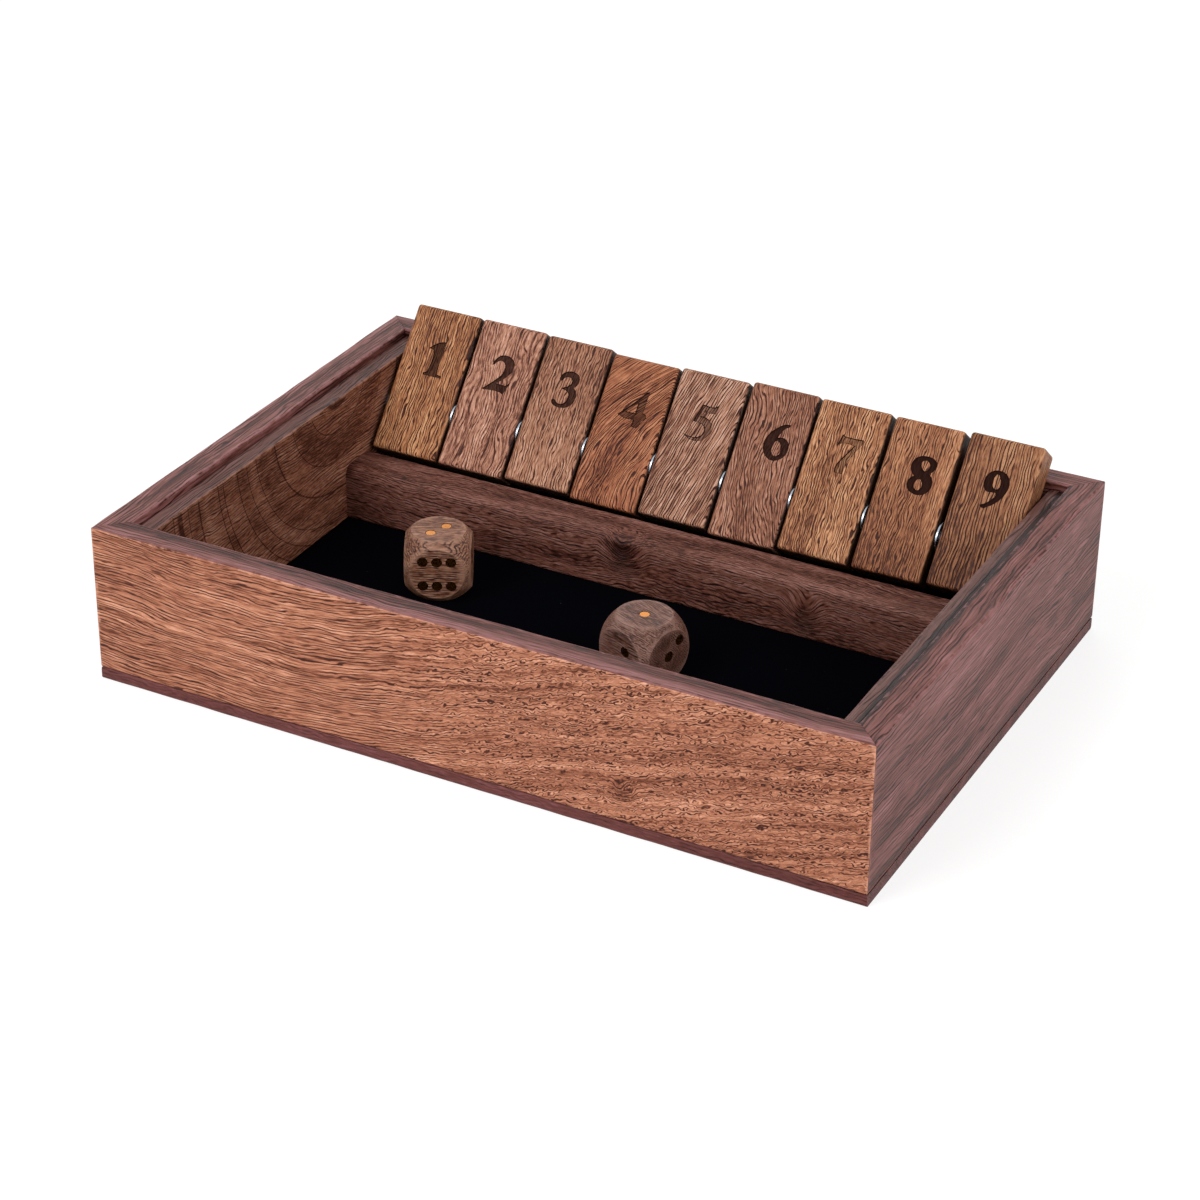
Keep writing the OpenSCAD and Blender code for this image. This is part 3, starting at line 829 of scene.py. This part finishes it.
def pip_places(count):
    """Where the pips of a face are, sideways and up from its middle."""
    if count == 2:
        return [(-pip_two, -pip_two), (pip_two, pip_two)]
    places = [(0, 0)] if count % 2 else []
    if count >= 3:
        places += [(-pip_side, -pip_up), (pip_side, pip_up)]
    if count >= 4:
        places += [(-pip_side, pip_up), (pip_side, -pip_up)]
    if count == 6:
        places += [(0, -pip_up), (0, pip_up)]
    return places


def pip_pins(radius, top, length):
    """One pin for each pip of a die, with its outer end top above the face."""
    pins = bmesh.new()
    for count, turn in zip(range(1, 7), face_turns):
        for sideways, upward in pip_places(count):
            spot = Matrix.Translation((sideways, upward, die_size / 2 + top - length / 2))
            bmesh.ops.create_cone(pins, segments=32, radius1=radius, radius2=radius, depth=length,
                                  cap_ends=True, matrix=turned(turn) @ spot)
    return pins


def flat_rims(centre, grain):
    """Measures how far a point on a die lies from the nearest rim of a flat."""
    def measure(tree, spot):
        plugs = {"Vector": spot, "Location": centre, "Rotation": grain}
        inside = add(tree, "Mapping", plugs, vector_type="TEXTURE").outputs[0]
        outward = add(tree, "VectorMath", {0: inside}, operation="ABSOLUTE").outputs[0]
        parts = add(tree, "SeparateXYZ", {0: outward})
        most = calculate(tree, "MAXIMUM", parts.outputs[0], parts.outputs[1])
        most = calculate(tree, "MAXIMUM", most, parts.outputs[2])
        reach = add(tree, "VectorMath", {0: inside}, operation="LENGTH").outputs["Value"]
        below_flat = calculate(tree, "SUBTRACT", die_size / 2, most)
        below_ball = calculate(tree, "SUBTRACT", die_ball, reach)
        return calculate(tree, "MAXIMUM", below_flat, below_ball)
    return measure


brass, alloy = blank_material("pip_brass")
alloy_spot = add(alloy, "TexCoord").outputs["Object"]
alloy_plugs = {"Vector": alloy_spot, "Scale": 3500.0, "Detail": 3.0}
alloy_cloud = add(alloy, "TexNoise", alloy_plugs).outputs["Fac"]
alloy_bump = add(alloy, "Bump", {"Strength": 0.2, "Distance": 0.00005, "Height": alloy_cloud}).outputs[0]
alloy_plugs = {"Base Color": mix_colours(alloy, alloy_cloud, shade(140, 82, 32), shade(172, 114, 50)),
               "Metallic": 1.0, "Roughness": rise(alloy, alloy_cloud, 0.3, 0.7, 0.22, 0.42),
               "Normal": alloy_bump}
alloy_surface = add(alloy, "BsdfPrincipled", alloy_plugs)
add(alloy, "OutputMaterial", {"Surface": alloy_surface.outputs[0]})

die_sets = {
    "left_die": (26.5, (-90, 0, 0), (130, 84, 62), 71.3),
    "right_die": (-18, (0, 0, 0), (114, 74, 60), 83.9),
}
for node, (spun, tipped, die_middle, seed) in die_sets.items():
    low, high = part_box(node)
    centre = (low + high) / 2
    stance = turned((0, 0, spun)) @ turned(tipped)
    ball = bmesh.new()
    bmesh.ops.create_icosphere(ball, subdivisions=7, radius=die_ball)
    for vert in ball.verts:
        axis = max(range(3), key=lambda part: abs(vert.co[part]))
        flat = Vector((0, 0, 0))
        flat[axis] = math.copysign(die_size / 2, vert.co[axis])
        if abs(vert.co[axis] - flat[axis]) < die_snap:
            outward = vert.co - vert.co.project(flat)
            vert.co = flat + outward.normalized() * die_flat / 2
    for face in ball.faces:
        face.smooth = True
    for axis in range(3):
        for side in (-1, 1):
            flat = Vector([side if part == axis else 0 for part in range(3)])
            cut_off(ball, flat * die_size / 2, flat)
    place = Matrix.Translation(centre) @ stance
    bmesh.ops.transform(ball, matrix=place, verts=ball.verts)
    grain = stance.to_euler()
    # The pale rims of the flats are partly wear and partly a painted highlight along each rim.
    die_wood = wood(node + "_wood", centre, grain, die_middle, seed, edges=flat_rims(centre, grain),
                    creases=(0.01, 0.0009, 1.0, 2.0), fibres=(0.003, 0.0005, 2.4), gloss=0.4, shine=0.4)
    # The walls of the pip holes, seen as a thin ring round each pin, are painted near-black as the shade in
    # the holes.
    die_hole_shade = wood(node + "_bore", centre, grain, die_middle, seed, char=0.8)
    die = finish_piece(node + "_turned", ball, [die_wood, die_hole_shade], node, body=node)
    holes = pip_pins(pip_hole, pip_over, pip_depth + pip_over)
    paint_faces(holes, 1, lambda face: True)
    bmesh.ops.transform(holes, matrix=place, verts=holes.verts)
    carve(die, holes)
    die.data.set_sharp_from_angle(angle=math.radians(30))
    pins = pip_pins(pip_radius, -pip_sunk, pip_depth - pip_sunk)
    bmesh.ops.transform(pins, matrix=place, verts=pins.verts)
    finish_piece(node + "_pins", pins, [brass], node + "_pips", body=node)
